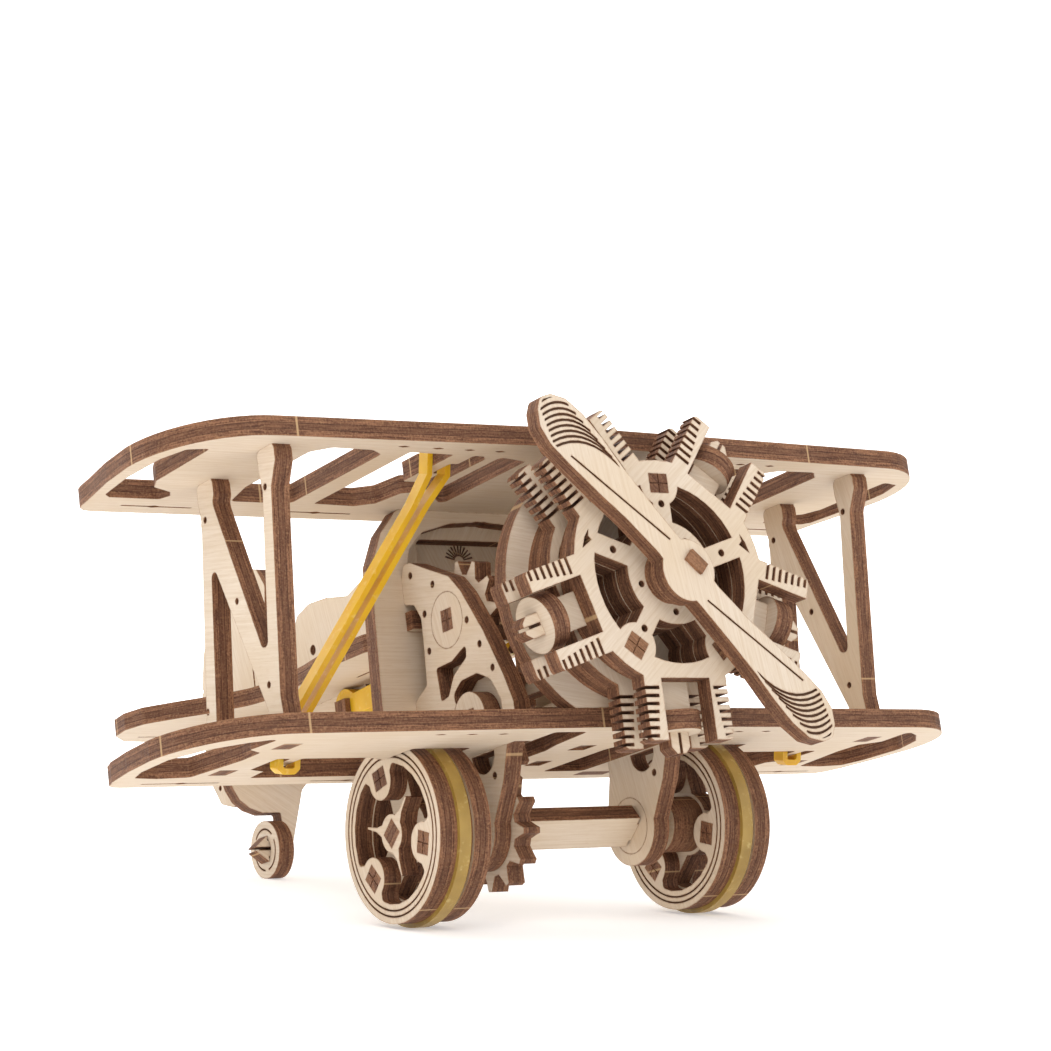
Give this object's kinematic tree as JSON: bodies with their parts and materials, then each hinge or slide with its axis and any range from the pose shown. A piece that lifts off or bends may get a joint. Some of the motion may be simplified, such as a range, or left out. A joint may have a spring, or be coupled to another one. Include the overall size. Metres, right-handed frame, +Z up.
{
  "type": "propeller plane model",
  "caption": "Small biplane kit of slotted laser-cut plywood plates on three wheels, with a radial engine, a propeller geared to the main axle and a rubber-band motor.",
  "frame": {"origin": "on the ground plane, below the middle of the whole model's box, with the propeller at its rest turn", "axes": "+Z up from the ground, -Y towards the nose, +X to port; the model rests nose-up on its main wheels and tail wheel"},
  "size_m": [0.1434, 0.1548, 0.0792],
  "materials": {
    "birch_plywood": "sanded, unvarnished, with scorched cut edges",
    "burnt_edge": "laser-scorched",
    "yellow_rubber": "soft, slightly translucent",
    "olive_rubber": "soft"
  },
  "bodies": {
    "airframe": {"upper_wing": "birch_plywood", "lower_wing": "birch_plywood", "wing_strut_starboard": "birch_plywood", "wing_strut_port": "birch_plywood", "side_plate_starboard": "birch_plywood", "side_plate_port": "birch_plywood", "cabane_bulkhead": "birch_plywood", "dash_board": "birch_plywood", "instrument_panel": "birch_plywood", "engine_bearer_starboard": "birch_plywood", "engine_bearer_port": "birch_plywood", "firewall": "birch_plywood", "crankcase_disc": "birch_plywood", "star_rear": "birch_plywood", "star_core": "birch_plywood", "star_front": "birch_plywood", "star_tie_bars": "burnt_edge", "cylinder_heads": "birch_plywood", "top_deck": "birch_plywood", "headrest": "birch_plywood", "tail_keel": "birch_plywood", "fin": "birch_plywood", "tail_leg": "birch_plywood", "band_bar": "burnt_edge", "motor_band": "yellow_rubber", "rigging_band_starboard": "yellow_rubber", "rigging_band_port": "yellow_rubber"},
    "axle": {"main_axle": "birch_plywood", "axle_gear": "birch_plywood", "axle_bushes": "birch_plywood", "axle_washers": "birch_plywood", "wheel_inner_starboard": "birch_plywood", "wheel_middle_starboard": "birch_plywood", "wheel_outer_starboard": "birch_plywood", "hub_star_starboard": "birch_plywood", "tyre_band_starboard": "olive_rubber", "wheel_inner_port": "birch_plywood", "wheel_middle_port": "birch_plywood", "wheel_outer_port": "birch_plywood", "hub_star_port": "birch_plywood", "tyre_band_port": "olive_rubber", "wheel_pins": "burnt_edge"},
    "middle_shaft_body": {"middle_shaft": "burnt_edge", "middle_gear": "birch_plywood", "middle_bushes": "birch_plywood"},
    "upper_shaft_body": {"upper_shaft": "burnt_edge", "upper_gear": "birch_plywood", "upper_bushes": "birch_plywood"},
    "propeller_body": {"propeller": "birch_plywood", "propeller_washer": "birch_plywood", "propeller_shaft": "burnt_edge", "propeller_bushes": "birch_plywood", "propeller_gear": "birch_plywood"},
    "tail_wheel_body": {"tail_wheel": "birch_plywood"}
  },
  "joints": [
    {"name": "axle_spin", "type": "hinge", "parent": "airframe", "child": "axle", "pos_m": [0, -0.0374, 0.0142], "axis": [1, 0, 0], "continuous": true},
    {"name": "middle_shaft_spin", "type": "hinge", "parent": "airframe", "child": "middle_shaft_body", "pos_m": [0, -0.03632, 0.03098], "axis": [1, 0, 0], "continuous": true},
    {"name": "upper_shaft_spin", "type": "hinge", "parent": "airframe", "child": "upper_shaft_body", "pos_m": [0, -0.02942, 0.04632], "axis": [1, 0, 0], "continuous": true},
    {"name": "propeller_spin", "type": "hinge", "parent": "airframe", "child": "propeller_body", "pos_m": [0, -0.04866, 0.04976], "axis": [0, -0.9705, 0.2409], "continuous": true},
    {"name": "tail_wheel_spin", "type": "hinge", "parent": "airframe", "child": "tail_wheel_body", "pos_m": [0, 0.04741, 0.0051], "axis": [1, 0, 0], "continuous": true}
  ],
  "couplings": [
    {"joint": "middle_shaft_spin", "follows": "axle_spin", "ratio": -1},
    {"joint": "upper_shaft_spin", "follows": "axle_spin", "ratio": 1},
    {"joint": "propeller_spin", "follows": "axle_spin", "ratio": 0.75}
  ]
}
